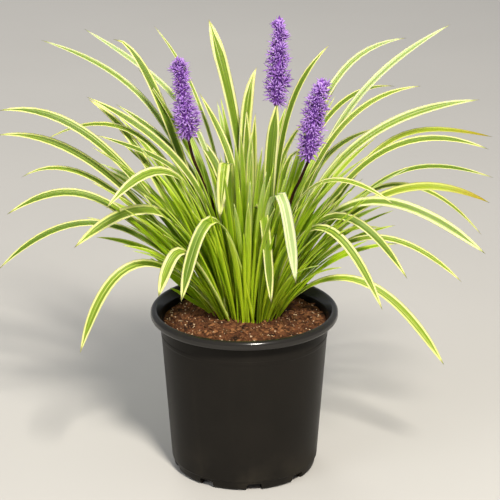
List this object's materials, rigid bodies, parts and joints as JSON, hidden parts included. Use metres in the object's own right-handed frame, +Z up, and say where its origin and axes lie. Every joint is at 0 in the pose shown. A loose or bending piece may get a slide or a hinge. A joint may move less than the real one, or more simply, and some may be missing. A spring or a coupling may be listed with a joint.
{
  "type": "potted liriope plant",
  "caption": "Variegated liriope with arching cream-edged strap leaves and dense lilac flower spikes, growing in a round black nursery pot filled with soil.",
  "frame": {"origin": "centre of the pot's flat base, on the surface that the pot stands on", "axes": "+Z up, +Y to the back of the clump, +X to the right; the fullest sweep of leaves runs along X"},
  "size_m": [0.4557, 0.2742, 0.425],
  "materials": {
    "pot_plastic": "satin black moulded polypropylene",
    "potting_soil": "moist crumbly potting mix with bark chips and pale grit",
    "leaf": "waxy green leaf with a paler midstripe and cream margins",
    "flower_stem": "smooth dark maroon stem",
    "floret": "soft lilac to violet petals"
  },
  "bodies": {
    "root": {"pot": "pot_plastic", "soil": "potting_soil", "tuft_east": "leaf", "tuft_north_east": "leaf", "tuft_north": "leaf", "tuft_north_west": "leaf", "tuft_west": "leaf", "tuft_south_west": "leaf", "tuft_south": "leaf", "tuft_south_east": "leaf", "stem_left": "flower_stem", "stem_middle": "flower_stem", "stem_right": "flower_stem", "spike_left": "floret", "spike_middle": "floret", "spike_right": "floret"}
  },
  "joints": []
}
